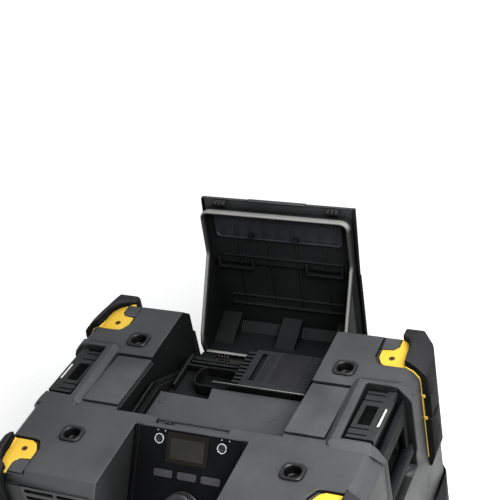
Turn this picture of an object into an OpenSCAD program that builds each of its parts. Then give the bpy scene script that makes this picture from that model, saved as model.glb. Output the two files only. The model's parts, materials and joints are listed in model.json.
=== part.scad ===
// Stackable jobsite radio with a charging compartment under a hinged lid.
// Millimetres, +Z up, +X to the right, +Y to the rear. The origin is on the
// floor, midway between the four stacking feet.

/* [Housing] */
// Height of the deck above the floor
deck_z = 340; // [340:5:370]
// Wall thickness of the moulded housing and base pan
wall = 4; // [3:0.5:4]
// Height of the base pan
pan_h = 87; // [84:1:90]

/* [Stacking] */
// Spacing of sockets and feet across the width
pitch_x = 320; // [312:2:324]
// Spacing of sockets and feet from front to rear
pitch_y = 203; // [197:1:205]
// Diameter of each stacking foot
foot_d = 18; // [14:1:19]
// Height of each stacking foot
foot_h = 8; // [7:1:9]

/* [Lid] */
// Angle the lid stands open, counted from closed
lid_open = 94; // [0:1:94]
// Diameter of the lid hinge pin
pin_d = 5; // [3:0.5:5]
// Radial running gap round every pin
pin_gap = 0.06; // [0.02:0.01:0.1]

/* [Side handles] */
// Diameter of each handle pin
handle_pin_d = 4; // [3:0.5:4]
// Length of the hand slot in each handle
hand_slot = 76; // [60:2:84]

/* [Controls] */
// Slope of the control panel, from horizontal
panel_slope = 52; // [50:1:54]
// Diameter of the volume knob
knob_d = 54; // [40:2:58]
// Height of the volume knob
knob_h = 18; // [12:1:22]
// Diameter of each ring button
ring_d = 15; // [12:0.5:16]

/* [Speakers] */
// Diameter of the opening in front of each driver
speaker_d = 96; // [80:2:98]

/* [Hidden] */
$fn = 64;

pan_top = foot_h + pan_h;      // split between base pan and housing
zb = pan_top - deck_z;         // the same split, measured down from the deck
hinge = [0, 189, -97];         // lid hinge, measured from the deck
tilt = -3.78;                  // slope of the inlays and of the lid's front part
bosses = [[238, -165], [238, 172], [95, -174], [95, 184]];
px = pitch_x / 2;
py = pitch_y / 2;
ringL = [-45, -15.5];          // ring buttons on the panel, down from its top edge
ringR = [47, -15.5];
knob_at = [1, -106];
presets = [-34, 1, 36];

// ---------- shared helpers ----------
module prism_x(p, x0, x1) translate([x0, 0, 0]) rotate([90, 0, 90]) linear_extrude(x1 - x0) polygon(p);
module prism_y(p, y0, y1) translate([0, y1, 0]) rotate([90, 0, 0]) linear_extrude(y1 - y0) polygon(p);
module box(a, b) translate(a) cube([b[0] - a[0], b[1] - a[1], b[2] - a[2]]);
module up() translate([0, 0, deck_z]) children();
module both() { children(); mirror([1, 0, 0]) children(); }
module corners4() { children(); mirror([1, 0, 0]) children(); mirror([0, 1, 0]) children(); mirror([1, 0, 0]) mirror([0, 1, 0]) children(); }
module slot2(l, r) { translate([-(l / 2 - r), 0]) circle(r); translate([l / 2 - r, 0]) circle(r); square([l - 2 * r, 2 * r], center = true); }
module rrect(x, y, r) { square([x - 2 * r, y], center = true); square([x, y - 2 * r], center = true);
  for (i = [-1, 1], j = [-1, 1]) translate([i * (x / 2 - r), j * (y / 2 - r)]) circle(r); }
module tilted() translate([0, 70, -3.5]) rotate([tilt, 0, 0]) children();
module on_panel() translate([0, -61, 0]) rotate([panel_slope, 0, 0]) children();
module rod_y(x, z, r, y0, y1) translate([x, y1, z]) rotate([90, 0, 0]) cylinder(r = r, h = y1 - y0);
module rod_x(y, z, r, x0, x1) translate([x0, y, z]) rotate([0, 90, 0]) cylinder(r = r, h = x1 - x0);

// Side profile (X, Z) of the housing, grown by g
function side_xz(g, z0) = [[-258 - g, z0], [258 + g, z0], [258 + g, -21 + g * 0.3], [255.5 + g * 0.8, -17 + g * 0.6],
  [244.7 + g * 0.6, -4.2 + g * 0.8], [238 + g * 0.2, g], [-238 - g * 0.2, g], [-244.7 - g * 0.6, -4.2 + g * 0.8],
  [-255.5 - g * 0.8, -17 + g * 0.6], [-258 - g, -21 + g * 0.3]];
// End profile (Y, Z) of the housing, grown by g
function end_yz(g, z0) = [[-190 - g, z0], [200 + g, z0], [200 + g, -54 + g * 0.4], [194.5 + g, -48 + g * 0.3],
  [195 + g, -17 + g * 0.4], [177 + g * 0.4, g], [-177 - g * 0.4, g], [-190 - g, -17 + g * 0.4]];
// Plan of the housing and base pan, with cut corners, grown by g
function plan_xy(g) = [[-258 - g, -170 - g * 0.4], [-238 - g * 0.4, -190 - g], [238 + g * 0.4, -190 - g], [258 + g, -170 - g * 0.4],
  [258 + g, 180 + g * 0.4], [238 + g * 0.4, 200 + g], [-238 - g * 0.4, 200 + g], [-258 - g, 180 + g * 0.4]];
module housing_outer(g = 0, z0 = -245) intersection() {
  translate([0, 0, z0]) linear_extrude(20 - z0) polygon(plan_xy(g));
  prism_y(side_xz(g, z0), -190 - g, 200 + g);
  prism_x(end_yz(g, z0), -258 - g, 258 + g);
}
module pan_outer(g = 0, zt = 95) intersection() {
  translate([0, 0, foot_h - g]) linear_extrude(zt - foot_h + g) polygon(plan_xy(g));
  prism_y([[-246 - g * 0.4, foot_h - g], [246 + g * 0.4, foot_h - g], [258 + g, foot_h + 12 - g * 0.4], [258 + g, zt], [-258 - g, zt], [-258 - g, foot_h + 12 - g * 0.4]], -190 - g, 200 + g);
  prism_x([[-178 - g * 0.4, foot_h - g], [188 + g * 0.4, foot_h - g], [200 + g, foot_h + 12 - g * 0.4], [200 + g, zt], [-190 - g, zt], [-190 - g, foot_h + 12 - g * 0.4]], -258 - g, 258 + g);
}

// ---------- housing ----------
module base_pan() color([0.13, 0.13, 0.14]) difference() {
  union() {
    difference() {
      pan_outer(0, pan_top);
      difference() {
        pan_outer(-wall, pan_top + 1);
        both() box([240, -26, 0], [260, 26, pan_top + 2]);
        both() box([201, -16, 0], [250, 16, 26]);
      }
    }
    // tongue that locates the housing
    difference() {
      union() {
        translate([0, 0, pan_top - 8]) linear_extrude(8) polygon(plan_xy(-3.5));
        translate([0, 0, pan_top - 1]) linear_extrude(5) polygon(plan_xy(-wall - 0.4));
      }
      translate([0, 0, pan_top - 9]) linear_extrude(14) polygon(plan_xy(-wall - 3));
    }
    for (b = bosses) both() {
      translate([b[0], b[1], foot_h]) cylinder(r = 8, h = pan_h);
      if (b[0] > 200) box([b[0], b[1] - 2.5, foot_h + 14], [256, b[1] + 2.5, pan_top]);
      else box([b[0] - 2.5, b[1] < 0 ? -188 : b[1], foot_h + 14], [b[0] + 2.5, b[1] < 0 ? b[1] : 198, pan_top]);
    }
    for (x = [24, 146], y = [64, 156]) translate([x, y, foot_h + 1]) cylinder(r = 4, h = 13);
    for (x = [-134, -34], y = [64, 156]) translate([x, y, foot_h + 1]) cylinder(r = 4, h = 13);
    // stiffening ribs across the floor
    for (y = [-140, -60, 20]) box([-190, y - 1.5, foot_h + 1], [190, y + 1.5, foot_h + 10]);
  }
  for (b = bosses) both() translate([b[0], b[1], 0]) {
    cylinder(r = 4.6, h = 70);
    cylinder(r = 2.3, h = 200);
  }
  // side latch pockets and the slots their tongues pass through
  both() box([244, -22, 0], [262, 22, pan_top - 4]);
  both() box([208, -12, 0], [262, 12, 22]);
  both() rod_y(249.5, 50, 1.5, -25.5, 25.5);
  // holes for the feet
  corners4() translate([px, py, 0]) cylinder(r = 5, h = 20);
  // finger scoops along the front lower edge
  for (x = [-150, -50, 50, 150]) box([x - 32, -192, 44], [x + 32, -188.6, 52]);
}

module speaker_recess() both() {
  box([92, -191, -230], [198, -185.6, -18]);
  translate([145, -175, -125]) rotate([90, 0, 0]) cylinder(r = speaker_d / 2, h = 14);
}

// Raised frame round the recess in each side
module side_frame() intersection() {
  prism_y([[179.4, -9], [179.4, -1.1], [188.6, 5.7], [191.4, 6.3], [232, 6.3], [240, 4.4], [249, -3.4], [257.2, -13.6], [260.6, -22.4], [260.6, -104], [257.5, -118], [250, -118], [250, -9]], -60, 100);
  prism_x([[-51.6, -130], [-51.6, -1.2], [-39.2, 6.1], [79.2, 6.1], [91.6, -1.2], [91.6, -130]], 170, 270);
  translate([0, 0, -130]) linear_extrude(140) polygon([[179.3, -38], [190.5, -51.4], [248, -51.4], [257, -47.5], [260.7, -39], [260.7, 79], [257, 87.5], [248, 91.4], [190.5, 91.4], [179.3, 78]]);
}
// Cut-out of the deck under each corner bracket
module corner_space(g = 0) {
  translate([0, 0, -6.3 + g]) linear_extrude(20) polygon([[191.8 + g, 195], [191.8 + g, 136], [200, 121.5 + g], [210, 119.8 + g], [265, 119.8 + g], [265, 195]]);
}
module band_space() prism_y([[230, -6.25], [236.3, -6.25], [246.6, -11.6], [254.4, -21.6], [254.8, -30], [254.8, -165.6], [263, -165.6], [263, 5], [230, 5]], 121.9, 154.2);
module part_x(a, b) up() intersection() {
  housing_shell();
  box([a, -205, zb - 6], [b, 215, 12]);
}
module upper_housing() color([0.17, 0.17, 0.18]) part_x(-147.6, 147.6);
module socket_rail_right() color([0.17, 0.17, 0.18]) part_x(147.6, 172.4);
module socket_rail_left() color([0.17, 0.17, 0.18]) part_x(-172.4, -147.6);
module side_pod_right() color([0.17, 0.17, 0.18]) part_x(172.4, 275);
module side_pod_left() color([0.17, 0.17, 0.18]) part_x(-275, -172.4);
module housing_shell() difference() {
  union() {
    difference() {
      housing_outer(0, zb);
      difference() {
        housing_outer(-wall, zb - 1);
        box([-127, -47, -114], [127, 210, 1]);
        box([-62, -57, -10], [56, -43, 1]);
        // sloping bay for the control panel
        prism_x([[-50.9, 1], [-51.7, -1], [-183.7, -170], [-186.5, -173], [-210, -173], [-210, 1]], -87, 87);
        both() {
          box([195, -39, -38], [260, 79, 1]);
          box([236, -39, -139], [260, 79, 1]);
          box([222, -14, -139], [260, 54, -51]);
          box([119, -40, -17], [200, 76, 1]);
          box([88, -191, -236], [204, -178, -12]);
        }
        box([-158, 190, -240.5], [158, 202, -112]);
      }
    }
    for (b = bosses) both() {
      translate([b[0], b[1], zb + 0.1]) cylinder(r = 7, h = 30);
      if (b[0] > 200) box([b[0], b[1] - 2.5, zb + 5], [256, b[1] + 2.5, zb + 30]);
      else box([b[0] - 2.5, b[1] < 0 ? -188 : b[1], zb + 5], [b[0] + 2.5, b[1] < 0 ? b[1] : 198, zb + 30]);
    }
    both() side_frame();
    // thicker wall under the corner brackets
    intersection() {
      housing_outer(-1, zb);
      corners4() {
        prism_y([[187, -3], [187, -12], [232, -12], [240, -15], [248.5, -26], [248.5, -172], [257.5, -172], [257.5, -18], [240, -1.5], [236, -3]], 116, 176);
        box([187, 116, -12], [240, 189, -3]);
      }
    }
    corners4() translate([214.9, 138.1, -22]) cylinder(r = 5, h = 14);
  }
  for (b = bosses) both() translate([b[0], b[1], zb - 1]) cylinder(r = 1.8, h = 27);
  corners4() translate([214.9, 138.1, -18]) cylinder(r = 1.5, h = 20);
  // compartment, open to the rear above the sill
  box([-123, -43, -130], [123, 190, 6]);
  box([-123, 180, -110.5], [123, 210, 6]);
  // finger notch in the front rim
  box([-57, -55, -8], [51, -42, 2]);
  // open front of the control bay
  prism_x([[-61, 2], [-61, 0], [-190, -165.1], [-215, -165.1], [-215, 2]], -83, 83);
  on_panel() {
    box([-82.9, -150.6, -3.1], [82.9, -0.9, 8]);
    box([-77, -146, -30], [77, -5, 8]);
  }
  // sloping pockets for the inlays and striker plates
  both() tilted() {
    box([122, -106.4, -8.05], [179.2, 0.3, 20]);
    box([200.3, -104.5, -9.25], [242, 3.3, 20]);
    box([206, -76, -27], [229, -29, -9]);
  }
  // side recesses behind the folding handles
  both() {
    box([240.5, -35, -135], [265, 75.5, 9]);
    box([226, -10, -135.05], [265, 50, -55]);
    rod_y(246.5, -24.5, handle_pin_d / 2, -38.9, 78.9);
  }
  // stacking sockets
  for (i = [-1, 1], j = [-1, 1]) translate([i * px, j * py, -6]) linear_extrude(12) square([25.2, 23.6], center = true);
  speaker_recess();
  // rear window
  box([-150, 196, -235], [150, 202, -118]);
  box([-142, 180, -227], [142, 202, -126]);
  // lid hinge
  rod_x(hinge[1], hinge[2], pin_d / 2, -127.5, 127.5);
  corners4() { corner_space(); band_space(); }
  // slot of the bass port below the panel
  box([-62, -192, -226], [62, -184, -212]);
}

module rear_cover() color([0.12, 0.12, 0.13]) up() difference() {
  union() {
    box([-149.7, 196.1, -234.7], [149.7, 199.9, -118.3]);
    for (x = [-60 : 30 : 120]) box([x - 1.5, 199, -228], [x + 1.5, 202, -125]);
  }
  for (x = [-45 : 30 : 105], z = [-222 : 10 : -136]) box([x - 10, 190, z], [x + 10, 205, z + 4]);
  box([-122, 190, -196], [-92, 205, -172]);
  for (x = [-145.5, 145.5], z = [-229, -176, -124]) translate([x, 210, z]) rotate([90, 0, 0]) cylinder(r = 1.6, h = 20);
}

module mains_inlet() color([0.06, 0.06, 0.06]) up() {
  difference() {
    union() {
      box([-121.6, 172, -195.6], [-92.4, 201, -172.4]);
      box([-126, 200, -199], [-88, 203, -169]);
    }
    box([-118, 182, -192], [-96, 204, -176]);
  }
  for (x = [-112, -107, -102]) box([x - 1, 180, -187], [x + 1, 197, -181]);
}

// Ledge that carries the lid gasket, with the basin inside it
module compartment_tub() color([0.15, 0.15, 0.16]) up() {
  difference() {
    union() {
      // ledge, following the lid's lower edge
      prism_x([[-42.7, -38], [-42.7, -34], [50, -34], [156, -90], [182.5, -95], [182.5, -99.5], [155, -94.3], [48.9, -38]], -122.7, 122.7);
      // basin, standing above the ledge at the back
      prism_x([[-22, -66], [-22, -35.5], [48, -35.5], [96, -60], [150, -60], [150, -93], [147, -93], [99, -66]], -112, 112);
    }
    box([-108, -18, -62], [108, 146, 10]);
    box([-108, 104, -120], [108, 146, -66]);
  }
  // seal ridges either side of the gasket's track
  both() {
    prism_x([[-31, -35], [-31, -30.8], [50.8, -30.8], [156, -86.4], [180, -91], [180, -95.2], [155, -91], [49, -35]], 119.8, 121.8);
    prism_x([[-20.5, -36.5], [-20.5, -29], [51, -29], [110, -60.2], [110, -68], [49.5, -36.5]], 109.2, 111);
  }
  both() prism_x([[-25, -35], [-25, -24.9], [44.9, -24.9], [153.9, -86.95], [153.9, -90.6], [50, -35.5]], 114.5, 117.5);
  box([-117.5, -26.5, -35.3], [117.5, -23.5, -24.9]);
  box([-120.5, -31.1, -35.3], [120.5, -29.4, -31]);
  box([-110, -20.9, -35.6], [110, -19.2, -29.3]);
  // posts below the tray
  for (x = [-96, -46, 96], y = [-8, 34]) translate([x, y, -63]) cylinder(r = 5, h = 19.8);
  // cross ribs behind the battery pocket
  box([-98, 118, -63], [-14, 121, -49]);
  box([-98, 130, -63], [-14, 134, -53]);
  box([-98, 141, -63], [-14, 144, -57]);
  box([-103, 74, -63], [-99, 144, -50]);
}

module tray_plate() color([0.20, 0.20, 0.21]) up() difference() {
  union() {
    translate([0, 0, -43]) linear_extrude(3) polygon([[-106, -17], [107, -17], [107, 67], [-34, 67], [-30, 44], [-106, 46]]);
    translate([77, 21, -41]) cylinder(r = 4.5, h = 1.6);
    translate([77, 21, -41]) cylinder(r = 3, h = 1.6);
  }
  translate([77, 21, -39.8]) cylinder(r = 3, h = 2);
  translate([-94, 28, -40.8]) difference() { cylinder(r = 7, h = 3); translate([0, 0, -1]) cylinder(r = 5.6, h = 6); box([2, -9, -2], [9, 9, 6]); }
}

module battery_pocket() color([0.09, 0.09, 0.10]) up() translate([-40, 92, 0]) difference() {
  translate([0, 0, -61.9]) linear_extrude(20) rrect(62, 42, 14);
  translate([0, 0, -58.9]) linear_extrude(30) rrect(56, 36, 11);
}

module charger_housing() color([0.14, 0.14, 0.15]) up() difference() {
  union() {
    box([6, 72, -61.9], [107.3, 145.8, -58]);
    box([6, 72, -59.8], [107.3, 150, -30]);
    // cooling fins along the left end
    for (i = [0 : 8]) prism_y([[-8, -58], [7, -58], [7, -30], [-6, -30], [-8, -33]], 76 + i * 8, 80 + i * 8);
    // rail along the front top edge
    prism_x([[69.4, -34], [72.5, -34], [72.5, -30], [70.6, -30], [69.4, -31.2]], -33, 107.3);
    box([-8, 72, -61.9], [7, 75, -36]);
    // ribbed strip along the right side
    for (i = [0 : 9]) box([98, 84 + i * 6.4, -30.5], [107.3, 87 + i * 6.4, -28.6]);
  }
  box([17, 84, -36], [25, 143, -20]);
  box([30, 84, -31.2], [38, 143, -20]);
  box([46.8, 82.8, -31.6], [92.2, 148.2, -20]);
  // vents in the front face
  for (i = [0 : 11]) box([12 + i * 8, 66, -56], [16 + i * 8, 75, -42]);
}

module charger_plate() color([0.10, 0.10, 0.11]) up() difference() {
  box([47, 83, -31.5], [92, 148, -30.1]);
  box([51, 87, -30.5], [56, 144, -30]);
}

module charger_terminals() color([0.82, 0.80, 0.74]) up() {
  for (i = [0 : 3]) box([-61 + i * 5, 146.4, -59.9], [-59.6 + i * 5, 149.6, -50]);
}

// ---------- deck ----------
module inlay() up() tilted() prism_y([[123.3, -8], [123.3, 0], [178.9, 0], [178.9, -8]], -106.2, 0);
module deck_inlay_right() color([0.18, 0.18, 0.19]) inlay();
module deck_inlay_left() color([0.18, 0.18, 0.19]) mirror([1, 0, 0]) inlay();

module socket_inserts() color([0.11, 0.11, 0.12]) up()
  for (i = [-1, 1], j = [-1, 1]) translate([i * px, j * py, 0]) difference() {
    union() {
      translate([0, 0, 0.1]) linear_extrude(3.4) rrect(32, 29, 9);
      translate([0, 0, -14]) linear_extrude(15) rrect(25, 23.2, 5);
    }
    translate([0, 0, -12]) linear_extrude(20) slot2(22, 10);
  }

module bracket_plate() linear_extrude(2.5) polygon([[196, 150], [196.5, 134], [203, 122], [211, 117.5], [238, 118.5],
  [235.8, 137], [235.8, 163.5], [223.8, 180.6], [218, 180.6], [218, 175], [218.5, 160], [212, 152]]);
module bracket() up() difference() {
  union() {
    translate([0, 3.8, -6]) bracket_plate();
    prism_y([[233, -6], [236.5, -6], [246.9, -11.4], [254.6, -21.5], [255, -30], [255, -165], [258.2, -165], [258.2, -25],
      [257.7, -19], [250.3, -7.9], [238.2, -1.2], [236.8, -3.5], [233, -3.5]], 122.3, 153.8);
    box([257, 122.3, -53], [262, 124.6, -48]);
    box([257, 122.3, -93], [262, 124.6, -88]);
  }
  translate([214.9, 138.1, -12]) cylinder(r = 1.6, h = 20);
  translate([214.9, 138.1, -4.9]) cylinder(r = 3.4, h = 20);
}
module corner_brackets() color([0.96, 0.78, 0.10]) corners4() bracket();

module bracket_blocks() color([0.20, 0.20, 0.21]) up() corners4()
  translate([0, 3.8, -6]) linear_extrude(2.5) polygon([[194.4, 152.4], [211.6, 152.4], [217.9, 160.2], [217.4, 176.4], [194.4, 176.4]]);

module bracket_screws() color([0.45, 0.42, 0.36]) up() corners4() translate([214.9, 138.1, 0]) difference() {
  union() {
    translate([0, 0, -4.85]) cylinder(r = 3.2, h = 1.2);
    translate([0, 0, -17.9]) cylinder(r = 1.5, h = 13.5);
  }
  translate([0, 0, -4.3]) cylinder(r = 1.4, h = 3, $fn = 6);
}

// Corner bumper. yo is the outermost Y of its rear face.
module bumper(yo, front) up() difference() {
  intersection() {
    translate([0, 0, -200]) linear_extrude(230) polygon([[238, 121.5], [268, 121.5], [271, 130], [271, 146], [262, 179], [250, yo - 2], [242, yo],
      [212, yo], [208, yo - 11], [208, 187], [214, 182], [226, 172], [235, 156]]);
    prism_y([[206, -182], [261, -182], [271.2, -150], [271.2, -40], [270, -30], [266.5, -14], [254, 0.5], [243, 8.5], [237, 10], [226, 9], [214, 4.5], [206, -1.5]], 100, 220);
    prism_x([[100, -182], [yo - 6, -182], [yo + 0.2, -150], [yo + 0.2, -10], [yo - 2, -5], [yo - 12, 5], [yo - 25, 9.5], [yo - 40, 11], [100, 11]], 190, 280);
  }
  difference() {
    mirror([0, front ? 1 : 0, 0]) housing_outer(0.2, -250);
    corner_space(0.2);
  }
  // space over the bracket's plate and block
  translate([0, 0, -7]) linear_extrude(3.8) polygon([[190, 100], [238.4, 100], [236.2, 141], [236.2, 167.6], [224.2, 184.9], [190, 184.9]]);
  // space of the bracket's band
  prism_y([[226, -7], [226, -3.2], [236.6, -3.2], [238.1, -0.8], [250.6, -7.5], [258.1, -18.8], [258.5, -25], [258.5, -190], [244, -190], [244, -7]], 110, 154.1);
  for (z = [-53.3, -93.3]) box([255, 110, z], [262.3, 124.9, z + 5.6]);
  // recessed segment at the end
  box([250, 110, -91], [280, 124, -50]);
  box([268.5, 110, -91], [280, 215, -50]);
  for (z = [-34, -120]) translate([0, 141, z]) rotate([0, 90, 0]) {
    translate([0, 0, 268]) cylinder(r = 3.4, h = 10);
    translate([0, 0, 263]) cylinder(r = 1.5, h = 20);
  }
}
module bumper_rear_right() color([0.09, 0.09, 0.10]) bumper(207, false);
module bumper_rear_left() color([0.09, 0.09, 0.10]) mirror([1, 0, 0]) bumper(207, false);
module bumper_front_right() color([0.09, 0.09, 0.10]) mirror([0, 1, 0]) bumper(199, true);
module bumper_front_left() color([0.09, 0.09, 0.10]) mirror([1, 0, 0]) mirror([0, 1, 0]) bumper(199, true);

module bumper_screws() color([0.35, 0.35, 0.36]) up() corners4() for (z = [-34, -120]) translate([0, 141, z]) rotate([0, 90, 0]) difference() {
  union() {
    translate([0, 0, 268.1]) cylinder(r = 3.2, h = 1.9);
    translate([0, 0, 263.2]) cylinder(r = 1.5, h = 6);
  }
  translate([0, 0, 269]) cylinder(r = 1.4, h = 3, $fn = 6);
}

module low_bumper(yo, front) difference() {
  intersection() {
    linear_extrude(100) polygon([[236, 121], [271, 121], [271, 146], [259, 188], [246, yo - 1], [240, yo], [205, yo], [205, 170], [236, 150]]);
    prism_y([[190, 12], [254, 12], [271, 32], [271, 84], [264, 92], [190, 92]], 100, 220);
    prism_x([[100, 12], [yo - 14, 12], [yo, 32], [yo, 84], [yo - 4, 92], [100, 92]], 190, 280);
  }
  mirror([0, front ? 1 : 0, 0]) pan_outer(0.2, 140);
}
module lower_bumpers() color([0.09, 0.09, 0.10]) both() { low_bumper(206, false); mirror([0, 1, 0]) low_bumper(197, true); }

// ---------- side fittings ----------
module striker() up() tilted() translate([0, 0, 0.8]) difference() {
  union() {
    prism_y([[203.7, -10], [203.7, -0.6], [204.3, 0], [240.2, 0], [240.2, -10]], -99, -2.4);
    box([228, -20, -10], [240.2, 2.2, 0]);
  }
  box([209, -71.5, -12], [226, -32, 4]);
  box([234, -71, -6], [239.2, -36, 4]);
  for (y = [-9, -22, -80, -92]) box([203, y - 1.2, -1.3], [228, y + 1.2, 3]);
  rod_y(236.8, -2.2, 1.5, -73.6, -33.4);
}
module striker_plate_right() color([0.16, 0.16, 0.17]) striker();
module striker_plate_left() color([0.16, 0.16, 0.17]) mirror([1, 0, 0]) striker();
module striker_rods() color([0.85, 0.86, 0.88]) both() up() tilted() translate([0, 0, 0.8]) rod_y(236.8, -2.2, 1.5, -73.5, -33.5);

// Folding side handle, hanging from its barrel
module handle() up() difference() {
  union() {
    rod_y(246.5, -24.5, 5, -32, 72);
    prism_y([[245, -24], [251.5, -24], [251.5, -95], [245, -95]], -32, 72);
    translate([249, 72, -102]) rotate([90, 0, 0]) linear_extrude(104) rrect(14, 22, 6);
  }
  box([230, 20 - hand_slot / 2, -91], [262, 20 + hand_slot / 2, -48]);
  rod_y(246.5, -24.5, handle_pin_d / 2 + pin_gap, -40, 80);
}
module side_handle_right() color([0.14, 0.14, 0.15]) handle();
module side_handle_left() color([0.14, 0.14, 0.15]) mirror([1, 0, 0]) handle();

// Side latch with a tongue that reaches under the base pan
module latch() difference() {
  union() {
    rod_y(249.5, 50, 4.5, -21.5, 21.5);
    box([250, -21.5, 13], [254.5, 21.5, 87]);
    box([213, -11, 11], [252, 11, 16]);
    box([213, -11, 6.5], [217, 11, 12]);
    for (z = [72 : 4 : 84]) box([254, -18, z - 0.8], [255.4, 18, z + 0.8]);
  }
  rod_y(249.5, 50, 1.5 + pin_gap, -30, 30);
}
module side_latch_right() color([0.96, 0.78, 0.10]) latch();
module side_latch_left() color([0.96, 0.78, 0.10]) mirror([1, 0, 0]) latch();

module handle_pins() color([0.7, 0.7, 0.72]) both() {
  up() rod_y(246.5, -24.5, handle_pin_d / 2, -38.8, 78.8);
  rod_y(249.5, 50, 1.5, -25.4, 25.4);
}

module stacking_feet() color([0.10, 0.10, 0.10]) corners4() translate([px, py, 0]) {
  cylinder(r = foot_d / 2, h = foot_h - 0.1);
  cylinder(r = 4.9, h = foot_h + 6);
}

module housing_screws() color([0.5, 0.5, 0.52]) {
  for (b = bosses) both() translate([b[0], b[1], 0]) difference() {
    union() {
      translate([0, 0, 66.9]) cylinder(r = 4, h = 3);
      translate([0, 0, 68]) cylinder(r = 1.8, h = pan_top - 68 + 22);
    }
    translate([0, 0, 66]) cylinder(r = 1.6, h = 2.6, $fn = 6);
  }
  up() for (x = [-145.5, 145.5], z = [-229, -176, -124]) translate([x, 202.4, z]) rotate([90, 0, 0]) {
    cylinder(r = 3.2, h = 2.4);
    cylinder(r = 1.5, h = 6);
  }
}

// ---------- controls ----------
module control_panel() color([0.05, 0.05, 0.055]) up() on_panel() difference() {
  union() {
    box([-82.6, -150.3, -3], [82.6, -1.2, 0]);
    for (s = [-1, 1]) translate([s * 78.3, 0, 0]) prism_y([[-4.3, -1], [-4.3, 1.6], [-2.6, 3], [2.6, 3], [4.3, 1.6], [4.3, -1]], -150.3, -1.2);
    for (x = [-72, 72], y = [-22, -136]) translate([x, y, -12.3]) cylinder(r = 2.8, h = 10);
  }
  translate([ringL[0], ringL[1], -5]) cylinder(r = ring_d / 2 + 0.3, h = 10);
  translate([ringR[0], ringR[1], -5]) cylinder(r = ring_d / 2 + 0.3, h = 10);
  box([-34, -45, -5], [28, -4, 5]);
  for (x = presets) translate([x, -60, -5]) linear_extrude(10) rrect(28.6, 10.6, 3);
  translate([knob_at[0], knob_at[1], -5]) cylinder(r = 6.6, h = 10);
}

module display_window() color([0.30, 0.28, 0.24]) up() on_panel() box([-33.8, -44.8, -2.6], [27.8, -4.2, 0.2]);
module display_module() color([0.35, 0.38, 0.30]) up() on_panel() {
  box([-33.5, -44.5, -7.6], [27.5, -8, -2.8]);
}
module control_board() color([0.05, 0.30, 0.16]) up() on_panel() difference() {
  union() {
    box([-75, -141, -14], [75, -11, -12.4]);
    for (p = [ringL, ringR]) translate([p[0], p[1], -12.5]) linear_extrude(2.9) square(6, center = true);
    for (x = presets) translate([x, -60, -12.5]) linear_extrude(2.9) square(6, center = true);
    translate([knob_at[0], knob_at[1], -12.5]) linear_extrude(5) square(13, center = true);
    translate([knob_at[0], knob_at[1], -12.5]) cylinder(r = 6, h = 13.5);
    box([-30, -90, -20], [10, -78, -13.9]);
  }
  translate([knob_at[0], knob_at[1], -11]) cylinder(r = 3 + pin_gap, h = 20);
}

module volume_knob() color([0.08, 0.08, 0.085]) up() on_panel() translate([knob_at[0], knob_at[1], 0]) difference() {
  union() {
    translate([0, 0, 1.4]) cylinder(r = knob_d / 2, h = 3.6);
    translate([0, 0, 4.9]) cylinder(r = knob_d / 2 - 2, h = knob_h - 6);
    translate([0, 0, knob_h - 1.2]) cylinder(r1 = knob_d / 2 - 2, r2 = knob_d / 2 - 4, h = 2);
    translate([0, 0, -10.5]) cylinder(r = 3, h = 14);
  }
  for (a = [0 : 30 : 330]) rotate(a) translate([knob_d / 2 - 1.2, 0, 5.6]) cylinder(r = 1.6, h = 40);
  translate([0, 0, knob_h + 0.2]) cylinder(r = knob_d / 2 - 7, h = 5);
}

module ring_button(p) up() on_panel() translate([p[0], p[1], 0]) {
  translate([0, 0, -4.4]) cylinder(r = ring_d / 2, h = 5.6);
  translate([0, 0, -8.3]) cylinder(r = 2, h = 5);
}
module power_button() color([0.75, 0.76, 0.78]) ring_button(ringL);
module source_button() color([0.75, 0.76, 0.78]) ring_button(ringR);

module preset(i) color([0.10, 0.10, 0.11]) up() on_panel() translate([presets[i], -60, 0]) {
  translate([0, 0, -4.4]) linear_extrude(6) rrect(28, 10, 2.7);
  translate([0, 0, -8.3]) cylinder(r = 2, h = 5);
}
module preset_button_1() preset(0);
module preset_button_2() preset(1);
module preset_button_3() preset(2);

// ---------- speakers and electronics ----------
module at_speaker() up() translate([145, -178.1, -125]) rotate([-90, 0, 0]) children();
module grille() up() difference() {
  box([92.3, -189.8, -229.7], [197.7, -187.6, -18.3]);
  for (z = [-222 : 12 : -28]) for (x = [98, 147.5]) box([x, -195, z], [x + 44.5, -180, z + 6]);
}
module speaker_grilles() color([0.10, 0.10, 0.105]) both() grille();

module speaker_baskets() color([0.22, 0.22, 0.23]) both() at_speaker() rotate_extrude()
  polygon([[49, 0.1], [54, 0.1], [54, 3], [50.5, 6], [36, 40], [36, 43], [20.5, 43], [20.5, 40], [33, 40], [47.6, 6], [49, 3]]);
module speaker_cones() color([0.06, 0.06, 0.065]) both() at_speaker() rotate_extrude()
  polygon([[0, 20], [16, 23.5], [44, 7.2], [48, 3], [48.4, 1.2], [46.6, 1.2], [43.4, 5], [16, 21], [0, 17.6]]);
module speaker_magnets() color([0.40, 0.40, 0.42]) both() at_speaker() {
  translate([0, 0, 43.1]) cylinder(r = 34, h = 16);
  translate([0, 0, 27]) cylinder(r = 18, h = 32);
}

module main_board() color([0.05, 0.30, 0.16]) translate([0, 0, foot_h + 14.1]) {
  box([20, 58, 0], [150, 162, 1.6]);
  box([60, 90, 1.5], [84, 114, 4]);
  box([100, 70, 1.5], [140, 84, 12]);
  for (i = [0 : 3]) translate([40 + i * 16, 140, 1.5]) cylinder(r = 6, h = 20);
  box([112, 100, 1.5], [136, 130, 26]);
}
module power_supply() color([0.62, 0.60, 0.50]) translate([0, 0, foot_h + 14.1]) {
  box([-138, 58, 0], [-30, 162, 1.6]);
  box([-124, 74, 1.5], [-74, 120, 42]);
  for (i = [0 : 2]) translate([-56, 76 + i * 22, 1.5]) cylinder(r = 9, h = 30);
  box([-130, 130, 1.5], [-50, 156, 14]);
}

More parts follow.
